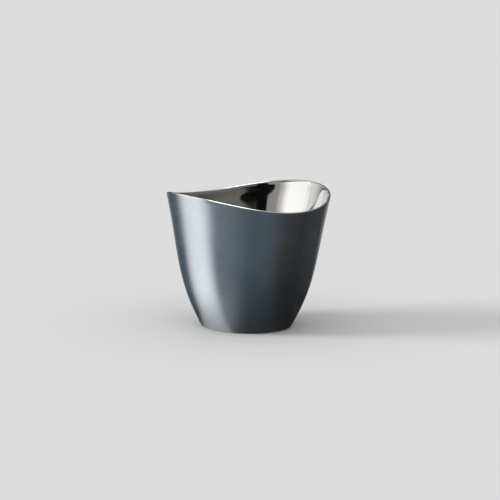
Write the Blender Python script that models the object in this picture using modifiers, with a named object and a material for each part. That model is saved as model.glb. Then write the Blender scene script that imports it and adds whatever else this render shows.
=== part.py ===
"""Champagne bucket with a double wall and a wavy rim.

The bucket stands on the plane z = 0 with its axis on Z. The rim rises towards +X and -X
and dips towards +Y and -Y. Units are metres.
"""
import math

import bmesh
import bpy
from mathutils import Vector

# Driving dimensions
RIM_HEIGHT = 0.203          # the rim's mean height above the table
WAVE_HEIGHT = 0.0107        # how far the rim rises and dips from its mean height
WAVE_START = 0.060          # below this height the wall has no wave in it
WAVE_FULL = 0.012           # the wave is full from this far below the rim upwards
SHEET = 0.0008              # the steel sheet of both walls and the base
GAP = 0.0003                # clearance between neighbouring pieces

# The outer wall is turned from one cubic curve, given as (radius, height) points.
WALL_CURVE = ((0.0690, 0.000), (0.1117, 0.0777), (0.1036, 0.1116), (0.1297, 0.222))

RIM_GAP = 0.0014            # air gap between the walls at the rim
WALL_GAP = 0.0050           # air gap between the walls lower down
GAP_SPREAD = 0.060          # height over which the air gap opens out

BEAD_HEIGHT = 0.0024
BEAD_ARC_STEPS = 6
EDGE_GAP = 0.0005           # clearance between a wall's upper edge and the bead

SHELL_FLOOR = 0.0010        # underside of the shell's flange
SHELL_CORNER = 0.0025
FLANGE_RADIUS = 0.0645      # inner edge of the flange

LINER_FLOOR = 0.0120        # underside of the liner's floor
LINER_CORNER = 0.0180

GROOVE_OUTER = 0.0620
GROOVE_INNER = 0.0570
GROOVE_DEPTH = 0.0024
LIP_WIDTH = 0.0026          # the ridge that holds the foot ring on its inner side
LIP_FLOOR = 0.0016
FOOT_EDGE = 0.0007          # rounding of the foot ring's tread
PLATE_CENTRE = 0.0030       # underside of the base plate inside the ridge
VENT_RADIUS = 0.0025

PAD_INNER = 0.0100
PAD_OUTER = 0.0420

PLUG_HEAD = 0.0040
PLUG_TIP = 0.0030           # radius of the flat under the plug's head
PLUG_BARB = 0.0034
PLUG_HEAD_HEIGHT = 0.0014
PLUG_BARB_HEIGHT = 0.0015

TURN_STEPS = 64
PLUG_STEPS = 24
WALL_STEPS = 10
MERGE = 0.00001


# Shape of the wall and the rim

def wall_point(t):
    """Radius, height, and the rates at which both change, at t from 0 to 1 on the curve."""
    p = WALL_CURVE
    u = 1 - t
    place = [u**3 * p[0][i] + 3 * u * u * t * p[1][i] + 3 * u * t * t * p[2][i] + t**3 * p[3][i]
             for i in (0, 1)]
    rate = [3 * (u * u * (p[1][i] - p[0][i]) + 2 * u * t * (p[2][i] - p[1][i])
                 + t * t * (p[3][i] - p[2][i])) for i in (0, 1)]
    return place, rate


def wall_parameter(height):
    low, high = 0.0, 1.0
    for _ in range(40):
        middle = (low + high) / 2
        if wall_point(middle)[0][1] < height:
            low = middle
        else:
            high = middle
    return (low + high) / 2


def wall_radius(height):
    return wall_point(wall_parameter(height))[0][0]


def wall_lean(height):
    """Angle between the wall and the vertical."""
    rate = wall_point(wall_parameter(height))[1]
    return math.atan2(rate[0], rate[1])


def smooth(x):
    x = min(max(x, 0.0), 1.0)
    return x * x * (3 - 2 * x)


def liner_radius(height):
    """Radius of the liner's outer side."""
    below = RIM_HEIGHT - WAVE_FULL - height
    gap = RIM_GAP + (WALL_GAP - RIM_GAP) * smooth(below / GAP_SPREAD)
    return wall_radius(height) - (SHEET + gap) / math.cos(wall_lean(height))


def lift_to_wave(mesh):
    """Raise and lower the upper wall into the wave, along the wall's own slope."""
    for vertex in mesh.vertices:
        x, y, z = vertex.co
        angle = math.atan2(y, x)
        share = smooth((z - WAVE_START) / (RIM_HEIGHT - WAVE_FULL - WAVE_START))
        lifted = z + WAVE_HEIGHT * math.cos(2 * angle) * share
        radius = math.hypot(x, y)
        if share > 0:
            radius += wall_radius(lifted) - wall_radius(z)
        vertex.co = (radius * math.cos(angle), radius * math.sin(angle), lifted)


# Outlines, as (radius, height) points

def arc(centre, radius, start, end, steps):
    points = []
    for i in range(steps + 1):
        angle = math.radians(start + (end - start) * i / steps)
        points.append((centre[0] + radius * math.cos(angle), centre[1] + radius * math.sin(angle)))
    return points


def cup_outline(radius_at, top, floor, corner, corner_steps):
    """A wall that comes down from top and turns inwards on to a floor round a corner."""
    foot = floor
    for _ in range(20):
        foot = floor + corner * (1 - math.sin(wall_lean(foot)))
    lean = wall_lean(foot)
    centre = (radius_at(foot) - corner * math.cos(lean), floor + corner)
    wall = []
    for i in range(WALL_STEPS):
        height = top + (foot - top) * i / WALL_STEPS
        wall.append((radius_at(height), height))
    return wall + arc(centre, corner, -math.degrees(lean), -90, corner_steps)


def shell_outline():
    top = RIM_HEIGHT - BEAD_HEIGHT - EDGE_GAP
    outline = cup_outline(wall_radius, top, SHELL_FLOOR, SHELL_CORNER, 4)
    return outline + [(FLANGE_RADIUS, SHELL_FLOOR)]


def liner_outline():
    top = RIM_HEIGHT - BEAD_HEIGHT - EDGE_GAP
    outline = cup_outline(liner_radius, top, LINER_FLOOR, LINER_CORNER, 5)
    return outline + [(PAD_OUTER, LINER_FLOOR), (0.0, LINER_FLOOR)]


def bead_outline():
    """A flat underside over both walls, short sides and a half-round top."""
    bottom = RIM_HEIGHT - BEAD_HEIGHT
    outer = wall_radius(bottom)
    width = 2 * SHEET + RIM_GAP
    half = width / 2
    centre = (outer - half, RIM_HEIGHT - half)
    top = arc(centre, half, 180, 0, BEAD_ARC_STEPS)
    return top + [(outer, bottom), (outer - width, bottom)]


def plate_outline():
    ceiling = SHELL_FLOOR + GROOVE_DEPTH
    lip_inner = GROOVE_INNER - LIP_WIDTH
    return [
        (FLANGE_RADIUS - GAP, SHELL_FLOOR),
        (GROOVE_OUTER, SHELL_FLOOR),
        (GROOVE_OUTER, ceiling),
        (GROOVE_INNER, ceiling),
        (GROOVE_INNER, LIP_FLOOR),
        (lip_inner, LIP_FLOOR),
        (lip_inner, PLATE_CENTRE),
        (PAD_OUTER, PLATE_CENTRE),
        (VENT_RADIUS, PLATE_CENTRE),
    ]


def foot_outline():
    """A ring with a flat tread and rounded lower edges."""
    top = SHELL_FLOOR + GROOVE_DEPTH - GAP
    outer = GROOVE_OUTER - GAP
    inner = GROOVE_INNER + GAP
    outline = [(inner, top), (outer, top)]
    outline += arc((outer - FOOT_EDGE, FOOT_EDGE), FOOT_EDGE, 0, -90, 2)
    outline += arc((inner + FOOT_EDGE, FOOT_EDGE), FOOT_EDGE, -90, -180, 2)
    return outline


def pad_outline():
    bottom = PLATE_CENTRE + SHEET + GAP
    top = LINER_FLOOR - GAP
    return [(PAD_INNER, top), (PAD_OUTER, top), (PAD_OUTER, bottom), (PAD_INNER, bottom)]


def plug_outline():
    """A mushroom plug: a tapered barb over the plate, a stem in the hole, a head below it."""
    over = PLATE_CENTRE + SHEET + GAP
    under = PLATE_CENTRE - GAP
    stem = VENT_RADIUS - GAP
    return [
        (0.0, over + PLUG_BARB_HEIGHT),
        (stem, over + PLUG_BARB_HEIGHT),
        (PLUG_BARB, over),
        (stem, over),
        (stem, under),
        (PLUG_HEAD, under),
        (PLUG_HEAD, under - PLUG_HEAD_HEIGHT / 2),
        (PLUG_TIP, under - PLUG_HEAD_HEIGHT),
        (0.0, under - PLUG_HEAD_HEIGHT),
    ]


# Making objects

def new_collection(name):
    collection = bpy.data.collections.new(name)
    bpy.context.scene.collection.children.link(collection)
    return collection


def finish(name, colour, roughness, metallic):
    material = bpy.data.materials.new(name)
    material.use_nodes = True
    shader = material.node_tree.nodes["Principled BSDF"]
    shader.inputs["Base Color"].default_value = (*colour, 1.0)
    shader.inputs["Roughness"].default_value = roughness
    shader.inputs["Metallic"].default_value = metallic
    return material


def turned(name, outline, steps, closed=False):
    """An outline turned about Z. The outline is closed for a ring, and open for a sheet."""
    bm = bmesh.new()
    points = [bm.verts.new(Vector((radius, 0.0, height))) for radius, height in outline]
    for a, b in zip(points, points[1:]):
        bm.edges.new((a, b))
    if closed:
        bm.edges.new((points[-1], points[0]))
    mesh = bpy.data.meshes.new(name)
    bm.to_mesh(mesh)
    bm.free()
    piece = bpy.data.objects.new(name, mesh)
    screw = piece.modifiers.new("Turn", "SCREW")
    screw.axis = "Z"
    screw.steps = steps
    screw.render_steps = steps
    screw.use_merge_vertices = True
    screw.merge_threshold = MERGE
    screw.use_smooth_shade = True
    return piece


def made_mesh(piece):
    """The piece with its modifiers applied."""
    graph = bpy.context.evaluated_depsgraph_get()
    mesh = bpy.data.meshes.new_from_object(piece.evaluated_get(graph))
    piece.modifiers.clear()
    piece.data = mesh
    return mesh


def thicken(piece):
    """Give a sheet its thickness on the side away from its outline."""
    solid = piece.modifiers.new("Sheet", "SOLIDIFY")
    solid.thickness = SHEET
    solid.offset = -1
    solid.use_even_offset = True


def make_shell(collection, material):
    shell = turned("outer_shell", shell_outline(), TURN_STEPS)
    collection.objects.link(shell)
    lift_to_wave(made_mesh(shell))
    thicken(shell)
    shell.data.materials.append(material)
    return shell


def make_liner(collection, material):
    liner = turned("inner_liner", liner_outline(), TURN_STEPS)
    collection.objects.link(liner)
    lift_to_wave(made_mesh(liner))
    thicken(liner)
    liner.data.materials.append(material)
    return liner


def make_bead(collection, material):
    bead = turned("rim_bead", bead_outline(), TURN_STEPS, closed=True)
    collection.objects.link(bead)
    lift_to_wave(made_mesh(bead))
    bead.data.materials.append(material)
    return bead


def make_plate(collection, material):
    plate = turned("base_plate", plate_outline(), TURN_STEPS)
    collection.objects.link(plate)
    thicken(plate)
    plate.data.materials.append(material)
    return plate


def make_foot(collection, material):
    foot = turned("foot_ring", foot_outline(), TURN_STEPS, closed=True)
    collection.objects.link(foot)
    foot.data.materials.append(material)
    return foot


def make_pad(collection, material):
    pad = turned("support_pad", pad_outline(), TURN_STEPS, closed=True)
    collection.objects.link(pad)
    pad.data.materials.append(material)
    return pad


def make_plug(collection, material):
    plug = turned("vent_plug", plug_outline(), PLUG_STEPS)
    collection.objects.link(plug)
    plug.data.materials.append(material)
    return plug


def main():
    for old in list(bpy.data.objects):
        bpy.data.objects.remove(old, do_unlink=True)

    bucket = new_collection("champagne_bucket")
    satin = finish("satin_steel", (0.50, 0.53, 0.56), 0.32, 1.0)
    polished = finish("polished_steel", (0.72, 0.72, 0.71), 0.06, 1.0)
    bead_steel = finish("bead_steel", (0.76, 0.77, 0.78), 0.10, 1.0)
    spun = finish("spun_steel", (0.55, 0.56, 0.57), 0.38, 1.0)
    silicone = finish("black_silicone", (0.020, 0.020, 0.022), 0.60, 0.0)
    plug_silicone = finish("plug_silicone", (0.030, 0.030, 0.032), 0.55, 0.0)
    felt = finish("grey_felt", (0.22, 0.22, 0.22), 0.95, 0.0)

    shell = make_shell(bucket, satin)
    for piece in (
        make_liner(bucket, polished),
        make_bead(bucket, bead_steel),
        make_plate(bucket, spun),
        make_foot(bucket, silicone),
        make_pad(bucket, felt),
        make_plug(bucket, plug_silicone),
    ):
        piece.parent = shell


main()
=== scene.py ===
"""Looks of the champagne bucket: a satin outer wall, a polished liner and a bright rim bead.

Every piece is turned from its own outline, and the rim and both upper walls are then lifted
into the rim's wave. Units are metres. The bucket stands on z = 0, and its rim is high at +X
and -X.
"""
import math

import bmesh
import bpy
from mathutils import Matrix, Vector


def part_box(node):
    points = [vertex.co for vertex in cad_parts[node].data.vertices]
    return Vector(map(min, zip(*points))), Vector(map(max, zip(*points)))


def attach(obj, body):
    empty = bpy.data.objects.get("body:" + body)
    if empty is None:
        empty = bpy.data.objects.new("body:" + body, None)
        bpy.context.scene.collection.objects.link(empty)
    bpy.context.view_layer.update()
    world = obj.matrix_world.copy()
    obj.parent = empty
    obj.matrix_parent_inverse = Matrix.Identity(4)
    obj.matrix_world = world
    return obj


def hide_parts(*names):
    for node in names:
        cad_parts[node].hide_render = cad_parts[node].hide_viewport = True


# The walls
SHEET = 0.0008                  # gauge of the steel
RIM_GAP = 0.0014                # air gap between the walls at the rim
WALL_GAP = 0.0050               # air gap between the walls lower down
GAP_SPREAD = 0.060              # height over which the air gap opens out
BEAD_HEIGHT = 0.0024
BEAD_EASE = 0.0003              # easing of the bead's lower edges
WAVE_START = 0.060              # the wall has no wave in it below this height
WAVE_FULL = 0.012               # the wave is full from this far below the rim upwards
WALL_RADII = (0.0690, 0.1117, 0.1036, 0.1297)       # the four points of the wall's curve
WALL_HEIGHTS = (0.0, 0.0777, 0.1116, 0.222)
SHELL_CORNER = 0.0025
FLANGE_RADIUS = 0.0645          # inner edge of the flange under the base
LINER_CORNER = 0.0180

# The base
SEAM = 0.0003                   # clearance between neighbouring pieces
GROOVE_OUTER = 0.0620
GROOVE_INNER = 0.0570
LIP_INNER = 0.0544              # inner edge of the ridge beside the groove
LIP_FLOOR = 0.0016
LIP_SLOPE = 0.0010              # run of the slope from the ridge up to the plate's middle
PLATE_FLOOR = 0.0030            # underside of the plate's middle
PLATE_BEND = 0.00085            # outer radius of the plate's pressed corners
VENT_RADIUS = 0.0025
FOOT_EASE = 0.0006
FOOT_TOP_EASE = 0.0004
TREAD_OFFSET = 0.0006           # from the middle of the tread to each of its two fine grooves
TREAD_GROOVE = 0.0002           # depth and half width of those grooves
PAD_OUTER = 0.0420
PAD_INNER = 0.0100
PAD_EASE = 0.0012
PLUG_BARB = 0.0034
PLUG_EASE = 0.0003
DOME_STEPS = 8

TURN_STEPS = 192
WALL_STEPS = 48
SHARP_EDGE = 42.0               # an edge that turns by more degrees than this stays crisp
MERGE = 0.000001
NEWTON_ROUNDS = 4               # enough to find a height on the wall's curve
SETTLE_ROUNDS = 20              # enough to settle where a wall meets its corner


# Shape of the wall and the rim

class Wave:
    """The rim's mean height and the height of its wave, worked out from the frame."""

    def __init__(self):
        low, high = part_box("rim_bead")
        self.height = (low.z + high.z + BEAD_HEIGHT) / 2
        self.rise = (high.z - low.z - BEAD_HEIGHT) / 2


def cubic(a, b, c, d, t):
    """A cubic curve's value at t, and the rate at which it changes there."""
    u = 1 - t
    value = u * u * u * a + 3 * u * u * t * b + 3 * u * t * t * c + t * t * t * d
    rate = 3 * (u * u * (b - a) + 2 * u * t * (c - b) + t * t * (d - c))
    return value, rate


def wall_place(height):
    """Where on the wall's curve a height lies, by Newton's method."""
    t = height / WALL_HEIGHTS[-1]
    for _ in range(NEWTON_ROUNDS):
        reached, rate = cubic(*WALL_HEIGHTS, t)
        t -= (reached - height) / rate
    return t


def wall_radius(height):
    return cubic(*WALL_RADII, wall_place(height))[0]


def wall_lean(height):
    """Angle between the wall and the vertical."""
    t = wall_place(height)
    return math.atan2(cubic(*WALL_RADII, t)[1], cubic(*WALL_HEIGHTS, t)[1])


def smooth(x):
    x = min(max(x, 0.0), 1.0)
    return x * x * (3 - 2 * x)


def lift_to_wave(bm, wave):
    """Raise and lower the upper part of a piece into the wave, along the wall's own slope."""
    for vertex in bm.verts:
        x, y, z = vertex.co
        share = smooth((z - WAVE_START) / (wave.height - WAVE_FULL - WAVE_START))
        if share <= 0:
            continue
        angle = math.atan2(y, x)
        lifted = z + wave.rise * math.cos(2 * angle) * share
        radius = math.hypot(x, y) + wall_radius(lifted) - wall_radius(z)
        vertex.co = (radius * math.cos(angle), radius * math.sin(angle), lifted)


# Outlines, as (radius, height) points

def arc(centre, radius, start, end, steps):
    points = []
    for i in range(steps + 1):
        angle = math.radians(start + (end - start) * i / steps)
        points.append((centre[0] + radius * math.cos(angle), centre[1] + radius * math.sin(angle)))
    return points


def rounded(points, radius, steps=5):
    """The outline with each of its inner corners rounded."""
    outline = [points[0]]
    for before, corner, after in zip(points, points[1:], points[2:]):
        corner = Vector(corner)
        to_before = (Vector(before) - corner).normalized()
        to_after = (Vector(after) - corner).normalized()
        half = to_before.angle(to_after) / 2
        centre = corner + (to_before + to_after).normalized() * radius / math.sin(half)
        start = corner + to_before * radius / math.tan(half) - centre
        end = corner + to_after * radius / math.tan(half) - centre
        for i in range(steps + 1):
            outline.append(tuple(centre + start.lerp(end, i / steps).normalized() * radius))
    return outline + [points[-1]]


def cup_outline(radius_at, top, floor, corner, corner_steps):
    """A wall that comes down from top and turns inwards on to a floor round a corner."""
    foot = floor
    for _ in range(SETTLE_ROUNDS):
        foot = floor + corner * (1 - math.sin(wall_lean(foot)))
    lean = wall_lean(foot)
    centre = (radius_at(foot) - corner * math.cos(lean), floor + corner)
    wall = []
    for i in range(WALL_STEPS):
        height = top + (foot - top) * i / WALL_STEPS
        wall.append((radius_at(height), height))
    return wall + arc(centre, corner, -math.degrees(lean), -90, corner_steps)


def offset_inwards(outline, distance):
    """The outline moved to its right, which is inwards on a wall that runs downwards."""
    moved = []
    last = len(outline) - 1
    for i, point in enumerate(outline):
        before = Vector(outline[max(i - 1, 0)])
        after = Vector(outline[min(i + 1, last)])
        along = (after - before).normalized()
        moved.append((point[0] + along.y * distance, point[1] - along.x * distance))
    return moved


def round_end(start, end, steps=6):
    """The points strictly between two corners of a sheet's edge, on a half circle."""
    start, end = Vector(start), Vector(end)
    centre = (start + end) / 2
    points = []
    for i in range(1, steps):
        turn = Matrix.Rotation(-math.pi * i / steps, 2)
        points.append(tuple(centre + turn @ (start - centre)))
    return points


def sheet_section(outline, to_axis=False):
    """The outline of a sheet: its outer side, its edges, and its inner side back again."""
    inner = offset_inwards(outline, SHEET)
    top = round_end(inner[0], outline[0])
    if to_axis:
        return inner[::-1] + top + outline
    edge = round_end(outline[-1], inner[-1])
    return outline + edge + inner[::-1] + top


# Turning an outline into a piece

def turned(name, outline, closed=True, wave=None):
    """Spin an outline about Z, lift it into the wave if there is one, and make it a piece."""
    bm = bmesh.new()
    points = [bm.verts.new((radius, 0.0, height)) for radius, height in outline]
    for a, b in zip(points, points[1:]):
        bm.edges.new((a, b))
    if closed:
        bm.edges.new((points[-1], points[0]))
    bmesh.ops.spin(bm, geom=bm.verts[:] + bm.edges[:], cent=(0, 0, 0), axis=(0, 0, 1),
                   dvec=(0, 0, 0), angle=2 * math.pi, steps=TURN_STEPS, use_merge=True)
    bmesh.ops.remove_doubles(bm, verts=bm.verts, dist=MERGE)
    bmesh.ops.recalc_face_normals(bm, faces=bm.faces)
    if wave:
        lift_to_wave(bm, wave)
    mesh = bpy.data.meshes.new(name)
    bm.to_mesh(mesh)
    bm.free()
    mesh.shade_smooth()
    mesh.set_sharp_from_angle(angle=math.radians(SHARP_EDGE))
    piece = bpy.data.objects.new(name, mesh)
    bpy.context.scene.collection.objects.link(piece)
    return piece


def fit(piece, node, material):
    """Let the piece stand for its node of the frame, and give it its finish."""
    piece.data.materials.append(material)
    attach(piece, "root")
    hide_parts(node)


def make_outer_wall(wave, material):
    """The satin wall, down to its tight corner and the flange under the base."""
    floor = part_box("outer_shell")[0].z
    top = wave.height - BEAD_HEIGHT
    outline = cup_outline(wall_radius, top, floor, SHELL_CORNER, 8)
    outline.append((FLANGE_RADIUS + SHEET / 2, floor))
    fit(turned("outer_wall", sheet_section(outline), wave=wave), "outer_shell", material)


def make_liner(wave, material):
    """The polished cup, with a generous corner and a flat floor."""
    full = wave.height - WAVE_FULL

    def liner_radius(height):
        gap = RIM_GAP + (WALL_GAP - RIM_GAP) * smooth((full - height) / GAP_SPREAD)
        return wall_radius(height) - (SHEET + gap) / math.cos(wall_lean(height))

    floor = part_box("inner_liner")[0].z
    top = wave.height - BEAD_HEIGHT
    outline = cup_outline(liner_radius, top, floor, LINER_CORNER, 16)
    outline += [(PAD_OUTER, floor), (PAD_OUTER / 2, floor), (0.0, floor)]
    liner = turned("liner", sheet_section(outline, to_axis=True), closed=False, wave=wave)
    fit(liner, "inner_liner", material)


def make_rim(wave, material):
    """The bead that closes both walls: a half-round top, short sides and eased lower edges."""
    bottom = wave.height - BEAD_HEIGHT
    outer = wall_radius(bottom)
    inner = outer - 2 * SHEET - RIM_GAP
    half = (outer - inner) / 2
    outline = arc((outer - half, wave.height - half), half, 180, 0, 20)
    outline += arc((outer - BEAD_EASE, bottom + BEAD_EASE), BEAD_EASE, 0, -90, 4)
    outline += arc((inner + BEAD_EASE, bottom + BEAD_EASE), BEAD_EASE, -90, -180, 4)
    fit(turned("rim", outline, wave=wave), "rim_bead", material)


def make_base(material):
    """The pressed disc that closes the base, with the groove for the foot and a vent hole."""
    low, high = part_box("base_plate")
    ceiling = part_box("foot_ring")[1].z + SEAM
    corners = [
        (high.x - SHEET / 2, low.z),
        (GROOVE_OUTER, low.z),
        (GROOVE_OUTER, ceiling),
        (GROOVE_INNER, ceiling),
        (GROOVE_INNER, LIP_FLOOR),
        (LIP_INNER, LIP_FLOOR),
        (LIP_INNER - LIP_SLOPE, PLATE_FLOOR),
        (VENT_RADIUS + SHEET / 2, PLATE_FLOOR),
    ]
    base = turned("base", sheet_section(rounded(corners, PLATE_BEND)))
    fit(base, "base_plate", material)


def make_foot(material):
    """The silicone ring: a flat tread with two fine grooves, and eased edges."""
    outer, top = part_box("foot_ring")[1].xz
    inner = GROOVE_INNER + SEAM
    middle = (outer + inner) / 2
    outline = arc((inner + FOOT_TOP_EASE, top - FOOT_TOP_EASE), FOOT_TOP_EASE, 180, 90, 4)
    outline += arc((outer - FOOT_TOP_EASE, top - FOOT_TOP_EASE), FOOT_TOP_EASE, 90, 0, 4)
    outline += arc((outer - FOOT_EASE, FOOT_EASE), FOOT_EASE, 0, -90, 5)
    for groove in (middle + TREAD_OFFSET, middle - TREAD_OFFSET):
        outline += [(groove + TREAD_GROOVE, 0.0), (groove, TREAD_GROOVE), (groove - TREAD_GROOVE, 0.0)]
    outline += arc((inner + FOOT_EASE, FOOT_EASE), FOOT_EASE, -90, -180, 5)
    fit(turned("foot", outline), "foot_ring", material)


def make_pad(material):
    """The felt ring under the liner's floor, with soft edges."""
    low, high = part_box("support_pad")
    outline = arc((PAD_INNER + PAD_EASE, high.z - PAD_EASE), PAD_EASE, 180, 90, 4)
    outline += arc((PAD_OUTER - PAD_EASE, high.z - PAD_EASE), PAD_EASE, 90, 0, 4)
    outline += arc((PAD_OUTER - PAD_EASE, low.z + PAD_EASE), PAD_EASE, 0, -90, 4)
    outline += arc((PAD_INNER + PAD_EASE, low.z + PAD_EASE), PAD_EASE, -90, -180, 4)
    fit(turned("pad", outline), "support_pad", material)


def make_plug(material):
    """The mushroom plug: a tapered barb over the plate, a stem, and a domed head below."""
    low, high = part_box("vent_plug")
    over = PLATE_FLOOR + SHEET + SEAM
    under = PLATE_FLOOR - SEAM
    stem = VENT_RADIUS - SEAM
    brim = under - PLUG_EASE
    outline = [(0.0, high.z)]
    outline += arc((stem - PLUG_EASE, high.z - PLUG_EASE), PLUG_EASE, 90, 45, 3)
    outline += arc((PLUG_BARB - PLUG_EASE, over + PLUG_EASE), PLUG_EASE, 45, -90, 5)
    outline += [(stem, over), (stem, under)]
    outline += arc((high.x - PLUG_EASE, brim), PLUG_EASE, 90, 0, 4)
    for i in range(1, DOME_STEPS + 1):
        angle = math.pi / 2 * i / DOME_STEPS
        outline.append((high.x * math.cos(angle), brim - (brim - low.z) * math.sin(angle)))
    fit(turned("plug", outline, closed=False), "vent_plug", material)


# Materials

NOISE_RUN = (0.3, 0.7)          # nearly all of a noise's values lie between these


class Nodes:
    """A node tree, and short ways to lay nodes out in it."""

    def __init__(self, tree):
        self.tree = tree

    def node(self, kind, **settings):
        made = self.tree.nodes.new(kind)
        for name, value in settings.items():
            setattr(made, name, value)
        return made

    def link(self, source, target):
        self.tree.links.new(source, target)

    def fill(self, sockets, values):
        for socket, value in zip(sockets, values):
            if isinstance(value, bpy.types.NodeSocket):
                self.link(value, socket)
            else:
                socket.default_value = value

    def maths(self, operation, *values):
        made = self.node("ShaderNodeMath", operation=operation)
        self.fill(made.inputs, values)
        return made.outputs[0]

    def vector(self, operation, *values):
        made = self.node("ShaderNodeVectorMath", operation=operation)
        self.fill(made.inputs, values)
        return made.outputs["Value" if operation in ("DOT_PRODUCT", "LENGTH") else "Vector"]

    def spread(self, value, low, high, start=0.0, end=1.0, ease="LINEAR"):
        """The value, moved from start..end to low..high."""
        made = self.node("ShaderNodeMapRange", interpolation_type=ease)
        self.fill(made.inputs, (value, start, end, low, high))
        return made.outputs["Result"]


class Finish(Nodes):
    """A Principled material and the nodes that its pattern is drawn with."""

    def __init__(self, name, colour, roughness, metallic):
        self.material = bpy.data.materials.new(name)
        self.material.use_nodes = True
        super().__init__(self.material.node_tree)
        self.shader = self.tree.nodes["Principled BSDF"]
        self.shader.inputs["Base Color"].default_value = (*colour, 1.0)
        self.shader.inputs["Roughness"].default_value = roughness
        self.shader.inputs["Metallic"].default_value = metallic

    def place(self):
        """Object coordinates."""
        return self.node("ShaderNodeTexCoord").outputs["Object"]

    def grain_place(self, along, across):
        """Coordinates for a grain that runs round the axis. Both scales are in features a metre."""
        split = self.node("ShaderNodeSeparateXYZ")
        self.link(self.place(), split.inputs[0])
        x, y, z = split.outputs
        radius = self.vector("LENGTH", self.vector("MULTIPLY", self.place(), (1.0, 1.0, 0.0)))
        joined = self.node("ShaderNodeCombineXYZ")
        self.fill(joined.inputs, (self.maths("MULTIPLY", x, along),
                                  self.maths("MULTIPLY", y, along),
                                  self.maths("MULTIPLY", self.maths("ADD", z, radius), across)))
        return joined.outputs[0]

    def noise(self, place, scale=1.0, detail=2.0, roughness=0.5):
        made = self.node("ShaderNodeTexNoise")
        made.inputs["Scale"].default_value = scale
        made.inputs["Detail"].default_value = detail
        made.inputs["Roughness"].default_value = roughness
        self.link(place, made.inputs["Vector"])
        return made.outputs["Fac"]

    def tint(self, value, dark, light):
        """Colour the surface between dark and light."""
        made = self.node("ShaderNodeMix", data_type="RGBA")
        colours = [socket for socket in made.inputs if socket.type == "RGBA"]
        self.link(value, made.inputs["Factor"])
        self.fill(colours, ((*dark, 1.0), (*light, 1.0)))
        mixed = [socket for socket in made.outputs if socket.type == "RGBA"]
        self.link(mixed[0], self.shader.inputs["Base Color"])

    def bump(self, height, depth, strength=1.0, under=None):
        """A bump of the given depth in metres, on top of another bump."""
        made = self.node("ShaderNodeBump")
        made.inputs["Strength"].default_value = strength
        made.inputs["Distance"].default_value = depth
        self.link(height, made.inputs["Height"])
        if under:
            self.link(under, made.inputs["Normal"])
        self.link(made.outputs["Normal"], self.shader.inputs["Normal"])
        return made.outputs["Normal"]

    def grooved(self, amount, rotation=0.0):
        """Stretch the highlights as fine grooves round the axis do. rotation is in whole turns."""
        tangent = self.node("ShaderNodeTangent", direction_type="RADIAL", axis="Z")
        self.link(tangent.outputs[0], self.shader.inputs["Tangent"])
        self.shader.inputs["Anisotropic"].default_value = amount
        self.shader.inputs["Anisotropic Rotation"].default_value = rotation


def satin_steel():
    """Fine satin lines round the wall, faint wider bands, and a trace of handling."""
    steel = Finish("satin_steel", (0.52, 0.55, 0.58), 0.30, 1.0)
    steel.grooved(0.70, rotation=0.25)
    fine = steel.noise(steel.grain_place(along=14.0, across=5200.0), detail=2.0)
    bands = steel.noise(steel.grain_place(along=5.0, across=420.0), detail=3.0)
    handled = steel.noise(steel.place(), scale=26.0, detail=3.0)
    rough = steel.maths("ADD", steel.spread(fine, 0.24, 0.36, *NOISE_RUN),
                        steel.spread(handled, -0.03, 0.03, *NOISE_RUN))
    steel.link(rough, steel.shader.inputs["Roughness"])
    steel.tint(steel.spread(handled, 0.0, 1.0, *NOISE_RUN), (0.51, 0.54, 0.57), (0.55, 0.58, 0.61))
    under = steel.bump(bands, depth=0.000008, strength=0.1)
    steel.bump(fine, depth=0.000008, strength=0.3, under=under)
    return steel.material


def polished_steel():
    """A mirror with the slightest ripple of drawn sheet and faint polishing lines."""
    steel = Finish("polished_steel", (0.78, 0.775, 0.76), 0.05, 1.0)
    ripple = steel.noise(steel.place(), scale=11.0, detail=1.0)
    lines = steel.noise(steel.grain_place(along=6.0, across=900.0), detail=3.0)
    steel.link(steel.spread(lines, 0.03, 0.09, *NOISE_RUN), steel.shader.inputs["Roughness"])
    under = steel.bump(ripple, depth=0.0002, strength=0.12)
    steel.bump(lines, depth=0.000004, strength=0.4, under=under)
    return steel.material


def bead_steel():
    """The weld bead, dressed round and buffed, with a little of the buffing left in it."""
    steel = Finish("bead_steel", (0.80, 0.80, 0.79), 0.10, 1.0)
    buffed = steel.noise(steel.grain_place(along=30.0, across=3000.0), detail=2.0)
    steel.link(steel.spread(buffed, 0.08, 0.16, *NOISE_RUN), steel.shader.inputs["Roughness"])
    steel.bump(steel.noise(steel.place(), scale=90.0, detail=2.0), depth=0.00003, strength=0.3)
    return steel.material


def spun_steel():
    """Turned rings on the underside, with a few deeper ones."""
    steel = Finish("spun_steel", (0.55, 0.56, 0.57), 0.36, 1.0)
    steel.grooved(0.5)
    rings = steel.noise(steel.grain_place(along=2.0, across=1800.0), detail=3.0)
    steel.link(steel.spread(rings, 0.28, 0.46, *NOISE_RUN), steel.shader.inputs["Roughness"])
    steel.tint(steel.spread(rings, 0.0, 1.0, *NOISE_RUN), (0.48, 0.49, 0.50), (0.58, 0.59, 0.60))
    steel.bump(rings, depth=0.00002, strength=0.6)
    return steel.material


def silicone(name, colour):
    """Matt black silicone with a fine moulded grain and a little dust."""
    rubber = Finish(name, colour, 0.6, 0.0)
    grain = rubber.noise(rubber.place(), scale=2500.0, detail=2.0)
    dust = rubber.noise(rubber.place(), scale=120.0, detail=4.0)
    dusty = tuple(2.2 * share for share in colour)
    rubber.tint(rubber.spread(dust, 0.0, 1.0, 0.45, 0.8), colour, dusty)
    rubber.link(rubber.spread(grain, 0.5, 0.7, *NOISE_RUN), rubber.shader.inputs["Roughness"])
    rubber.bump(grain, depth=0.00004, strength=0.5)
    return rubber.material


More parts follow.
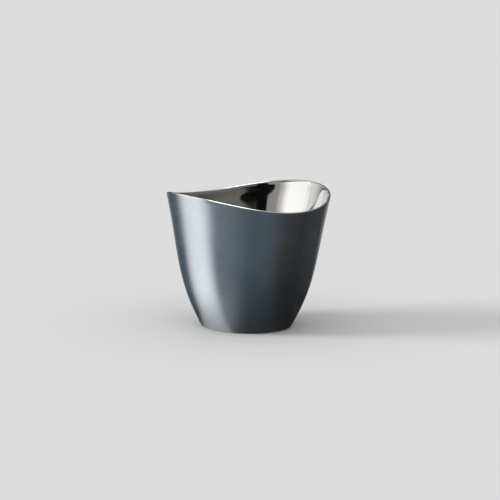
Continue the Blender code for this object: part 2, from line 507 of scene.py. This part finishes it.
def grey_felt():
    """Pressed wool fibres in two lengths."""
    felt = Finish("grey_felt", (0.22, 0.22, 0.22), 0.95, 0.0)
    felt.shader.inputs["Sheen Weight"].default_value = 0.3
    fibres = felt.noise(felt.place(), scale=900.0, detail=6.0, roughness=0.7)
    tufts = felt.noise(felt.place(), scale=220.0, detail=3.0)
    felt.tint(felt.spread(fibres, 0.0, 1.0, *NOISE_RUN), (0.15, 0.15, 0.15), (0.30, 0.30, 0.29))
    under = felt.bump(tufts, depth=0.0003, strength=0.6)
    felt.bump(fibres, depth=0.0002, strength=0.8, under=under)
    return felt.material


# Camera

CAMERA_TURN = -40.0             # the camera's place round the bucket: 0 is at -Y, 90 at +X
CAMERA_RISE = 10.1
CAMERA_DISTANCE = 4.17
CAMERA_LENS = 195.8             # millimetres, as is the sensor's width
SENSOR_WIDTH = 36.0
CAMERA_ROLL = 1.09
AIM_ABOVE = 0.0153              # how far above and to the right of the bucket's middle it aims
AIM_RIGHT = 0.0037

TABLE_CENTRE = Vector((0.0, 0.0, 0.0))
BUCKET_CENTRE = Vector((0.0, 0.0, 0.1))
UP = Vector((0.0, 0.0, 1.0))


def around(turn, rise, distance, centre=BUCKET_CENTRE):
    """A place round the bucket, turned in degrees from the camera towards the camera's left."""
    turn = math.radians(CAMERA_TURN - turn)
    rise = math.radians(rise)
    out = Vector((math.sin(turn) * math.cos(rise), -math.cos(turn) * math.cos(rise), math.sin(rise)))
    return centre + out * distance


def facing_bucket(place):
    """The turn that makes a lamp or a card at this place face the bucket."""
    return (place - BUCKET_CENTRE).to_track_quat("Z", "Y").to_euler()


def make_camera(wave):
    """A long lens that looks a little down on the bucket and leans very slightly."""
    middle = Vector((0.0, 0.0, wave.height / 2))
    place = around(0.0, CAMERA_RISE, CAMERA_DISTANCE, middle)
    back = (place - middle).normalized()
    right = UP.cross(back).normalized()
    target = middle + back.cross(right) * AIM_ABOVE + right * AIM_RIGHT
    data = bpy.data.cameras.new("camera")
    data.lens = CAMERA_LENS
    data.sensor_width = SENSOR_WIDTH
    camera = bpy.data.objects.new("camera", data)
    bpy.context.scene.collection.objects.link(camera)
    turn = (place - target).to_track_quat("Z", "Y").to_matrix().to_4x4()
    roll = Matrix.Rotation(math.radians(CAMERA_ROLL), 4, "Z")
    camera.matrix_world = Matrix.Translation(place) @ turn @ roll
    bpy.context.scene.camera = camera


# Studio: even light on a pale floor, and a dark room that only the steel mirrors.
#
# Only the floor and the pale background show, and with two suns they light matt surfaces.
# The dark table, the dim room, the panels and the black cards are there only to be mirrored.

WHITE = (1.0, 1.0, 1.0)
COOL = (0.90, 1.00, 1.08)
SLATE_BLUE = (0.74, 1.02, 1.24)
OLIVE_GREY = (1.00, 0.98, 0.90)
DAYLIGHT = 0.72                 # radiance of the even light from all sides
FLOOR_COLOUR = 0.62
FLOOR_RADIUS = 30.0
TABLE_DROP = 0.0005             # how far the dark table lies below the floor
TABLE_LIGHT = (0.003, 0.003, 0.004)     # radiance painted into the dark table away from its streaks
CARD_BLACK = (0.004, 0.004, 0.004)      # colour of the black cards
KEY_SHARE = 0.62                # the key's share of the floor's sunlight
SKIRTING_LIGHT = 0.02           # radiance of the mirrored room, low down
ROOM_LIGHT = 0.15               # and on its walls
CEILING_LIGHT = 0.65            # what is added to that straight overhead
WALL_RISE = (0.06, 0.30)        # the walls come in over these sines of the angle upwards
CEILING_RISE = (0.45, 1.00)     # and the ceiling over these


def lamp_object(name, kind, place):
    """A lamp at a place round the bucket, turned to face the bucket's middle."""
    lamp = bpy.data.objects.new(name, bpy.data.lights.new(name, kind))
    bpy.context.scene.collection.objects.link(lamp)
    lamp.location = place
    lamp.rotation_euler = facing_bucket(place)
    lamp.visible_camera = False
    return lamp


def soft_sun(name, turn, rise, level, softness):
    """Even light from one side, with a soft shadow. level is the light that the floor gets."""
    lamp = lamp_object(name, "SUN", around(turn, rise, distance=3.0))
    lamp.data.energy = level / math.sin(math.radians(rise))
    lamp.data.angle = math.radians(softness)
    lamp.visible_glossy = False


def panel(name, turn, rise, distance, size, radiance, fade_back=0.0, fade_front=0.0):
    """A light panel that only the steel mirrors. Its ends fade over these shares of its width."""
    lamp = lamp_object(name, "AREA", around(turn, rise, distance))
    lamp.visible_diffuse = False
    light = lamp.data
    light.shape = "RECTANGLE"
    light.size, light.size_y = size
    light.energy = radiance * math.pi * light.size * light.size_y
    light.use_nodes = True
    nodes = Nodes(light.node_tree)
    across = nodes.node("ShaderNodeSeparateXYZ")
    nodes.link(nodes.node("ShaderNodeNewGeometry").outputs["Parametric"], across.inputs[0])
    level = 1.0
    for start, end in ((0.0, fade_back), (1.0, 1.0 - fade_front)):
        if start != end:
            fade = nodes.spread(across.outputs[0], 0.0, 1.0, start, end, "SMOOTHSTEP")
            level = nodes.maths("MULTIPLY", fade, level)
            nodes.link(level, nodes.tree.nodes["Emission"].inputs["Strength"])


def stage_piece(name, bm, material, **visibility):
    """A piece of the studio, seen only by the rays that visibility leaves on."""
    mesh = bpy.data.meshes.new(name)
    bm.to_mesh(mesh)
    bm.free()
    mesh.materials.append(material)
    made = bpy.data.objects.new(name, mesh)
    bpy.context.scene.collection.objects.link(made)
    for ray, seen in visibility.items():
        setattr(made, "visible_" + ray, seen)
    return made


def disc(radius, height):
    bm = bmesh.new()
    bmesh.ops.create_circle(bm, cap_ends=True, segments=128, radius=radius)
    bmesh.ops.translate(bm, verts=bm.verts, vec=(0, 0, height))
    return bm


def black_flag(name, turn, height, distance, size, lean=0.0):
    """A black oval card, whose mirror image gives the liner its dark shape."""
    black = Finish(name, CARD_BLACK, 1.0, 0.0)
    black.shader.inputs["Specular IOR Level"].default_value = 0.0
    bm = disc(0.5, 0.0)
    bmesh.ops.scale(bm, verts=bm.verts, vec=(*size, 1.0))
    tilt = Matrix.Rotation(math.radians(lean), 3, "Z")
    bmesh.ops.rotate(bm, verts=bm.verts, cent=(0, 0, 0), matrix=tilt)
    flag = stage_piece(name, bm, black.material, camera=False, diffuse=False, shadow=False)
    flag.location = around(turn, 0.0, distance, UP * height)
    flag.rotation_euler = facing_bucket(flag.location)


def gleam(slate, turn, half, colour, start, full, near, apex=0.0):
    """A painted streak of light that runs outwards over the dark table, as a colour: painted sheen.

    It points to turn and is half as bright at half degrees to either side. Its share of light
    goes from near, at the radius start, to all of it at the radius full, so it fades outwards
    where start is the larger one. Where start is the smaller one, the dimmer share near the
    bucket is a painted contact shadow. It spreads from a point on the axis, or from one moved
    towards the camera by apex.
    """
    flat = slate.vector("MULTIPLY", slate.place(), (1.0, 1.0, 0.0))
    source = around(0.0, 0.0, apex, TABLE_CENTRE)
    outwards = slate.vector("NORMALIZE", slate.vector("SUBTRACT", flat, source))
    aim = slate.vector("DOT_PRODUCT", outwards, around(turn, 0.0, 1.0, TABLE_CENTRE))
    edge = 2 * math.cos(math.radians(half)) - 1
    beam = slate.spread(aim, 0.0, 1.0, edge, 1.0, "SMOOTHSTEP")
    # Where start is the smaller radius this is a painted contact shadow near the bucket; where it is
    # the larger, the painted sheen fades outwards.
    painted_shade_and_falloff = slate.spread(slate.vector("LENGTH", flat), near, 1.0, start, full, "SMOOTHSTEP")
    return slate.vector("MULTIPLY", slate.maths("MULTIPLY", beam, painted_shade_and_falloff), colour)


def shade(colour, level):
    return tuple(level * share for share in colour)


def dark_table():
    """A near-black table that glows with painted streaks of sheen, for the satin wall to mirror."""
    slate = Finish("dark_table", (0.0, 0.0, 0.0), 1.0, 0.0)
    slate.shader.inputs["Specular IOR Level"].default_value = 0.0
    light = TABLE_LIGHT
    for streak in (
        gleam(slate, 87.0, 24.0, shade(WHITE, 1.22), start=0.07, full=0.19, near=0.22, apex=0.055),
        gleam(slate, 52.0, 32.0, shade(WHITE, 0.15), start=0.28, full=0.09, near=0.0),
        gleam(slate, 122.0, 24.0, shade(SLATE_BLUE, 0.11), start=0.05, full=0.30, near=0.60),
        gleam(slate, 52.0, 40.0, shade(COOL, 0.12), start=0.05, full=0.12, near=0.50, apex=0.020),
        gleam(slate, 14.0, 50.0, shade(SLATE_BLUE, 0.125), start=0.0, full=0.45, near=0.15),
        gleam(slate, -50.0, 30.0, shade(WHITE, 0.045), start=0.10, full=0.50, near=0.0),
        gleam(slate, -115.0, 28.0, shade(COOL, 0.05), start=0.10, full=0.50, near=0.25),
        gleam(slate, -178.0, 30.0, shade(WHITE, 0.50), start=0.0, full=0.40, near=0.30),
    ):
        light = slate.vector("ADD", light, streak)
    # The table is no lamp: its streaks are painted light, and they glow as emission.
    slate.link(light, slate.shader.inputs["Emission Color"])
    slate.shader.inputs["Emission Strength"].default_value = 1.0
    stage_piece("dark_table", disc(FLOOR_RADIUS, -TABLE_DROP), slate.material,
                camera=False, diffuse=False, shadow=False)


def make_world():
    """Even pale light, except that the steel mirrors a dim room with a brighter ceiling."""
    world = bpy.data.worlds.new("studio")
    bpy.context.scene.world = world
    world.use_nodes = True
    nodes = Nodes(world.node_tree)
    pale = nodes.tree.nodes["Background"]
    nodes.fill(pale.inputs, ((*WHITE, 1.0), DAYLIGHT))
    split = nodes.node("ShaderNodeSeparateXYZ")
    nodes.link(nodes.node("ShaderNodeTexCoord").outputs["Generated"], split.inputs[0])
    walls = nodes.spread(split.outputs[2], SKIRTING_LIGHT, ROOM_LIGHT, *WALL_RISE, "SMOOTHSTEP")
    ceiling = nodes.spread(split.outputs[2], 0.0, CEILING_LIGHT, *CEILING_RISE, "SMOOTHSTEP")
    room = nodes.node("ShaderNodeBackground")
    nodes.fill(room.inputs, ((*OLIVE_GREY, 1.0), nodes.maths("ADD", walls, ceiling)))
    mix = nodes.node("ShaderNodeMixShader")
    mirrored = nodes.node("ShaderNodeLightPath").outputs["Is Glossy Ray"]
    nodes.fill(mix.inputs, (mirrored, pale.outputs[0], room.outputs[0]))
    nodes.link(mix.outputs[0], nodes.tree.nodes["World Output"].inputs["Surface"])


def make_studio():
    floor = Finish("pale_floor", (FLOOR_COLOUR,) * 3, 1.0, 0.0)
    floor.shader.inputs["Specular IOR Level"].default_value = 0.0
    stage_piece("floor", disc(FLOOR_RADIUS, 0.0), floor.material, glossy=False, shadow=False)
    dark_table()
    make_world()

    # With this much light from the suns, the floor is as bright as the light behind it.
    sunlight = DAYLIGHT * math.pi * (1 / FLOOR_COLOUR - 1)
    soft_sun("key", turn=80.0, rise=26.0, level=sunlight * KEY_SHARE, softness=22.0)
    soft_sun("fill", turn=20.0, rise=75.0, level=sunlight * (1 - KEY_SHARE), softness=60.0)

    panel("window", turn=76.0, rise=13.0, distance=2.0, size=(2.2, 0.9), radiance=1.08,
          fade_back=0.15, fade_front=0.38)
    panel("reflector", turn=43.0, rise=16.0, distance=2.4, size=(0.8, 1.4), radiance=0.15)
    panel("side_diffuser", turn=124.0, rise=20.0, distance=2.2, size=(1.8, 1.6), radiance=0.75,
          fade_back=0.8)
    panel("overhead", turn=20.0, rise=78.0, distance=2.2, size=(1.6, 1.6), radiance=3.7)
    black_flag("flag", turn=14.0, height=0.86, distance=2.0, size=(2.05, 0.29), lean=4.0)
    black_flag("flag_stem", turn=23.5, height=1.15, distance=2.1, size=(0.64, 0.80))
    bpy.context.scene.view_settings.view_transform = "Standard"


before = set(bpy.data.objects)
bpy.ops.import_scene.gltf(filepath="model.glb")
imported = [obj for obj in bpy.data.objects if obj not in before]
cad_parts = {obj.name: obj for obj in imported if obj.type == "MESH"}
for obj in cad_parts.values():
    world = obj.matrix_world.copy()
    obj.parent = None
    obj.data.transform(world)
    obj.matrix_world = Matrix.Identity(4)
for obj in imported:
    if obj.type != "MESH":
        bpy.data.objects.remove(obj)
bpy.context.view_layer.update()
rim_wave = Wave()
make_camera(rim_wave)
make_outer_wall(rim_wave, satin_steel())
make_liner(rim_wave, polished_steel())
make_rim(rim_wave, bead_steel())
make_base(spun_steel())
make_foot(silicone("black_silicone", (0.020, 0.020, 0.022)))
make_pad(grey_felt())
make_plug(silicone("plug_silicone", (0.030, 0.030, 0.032)))
make_studio()
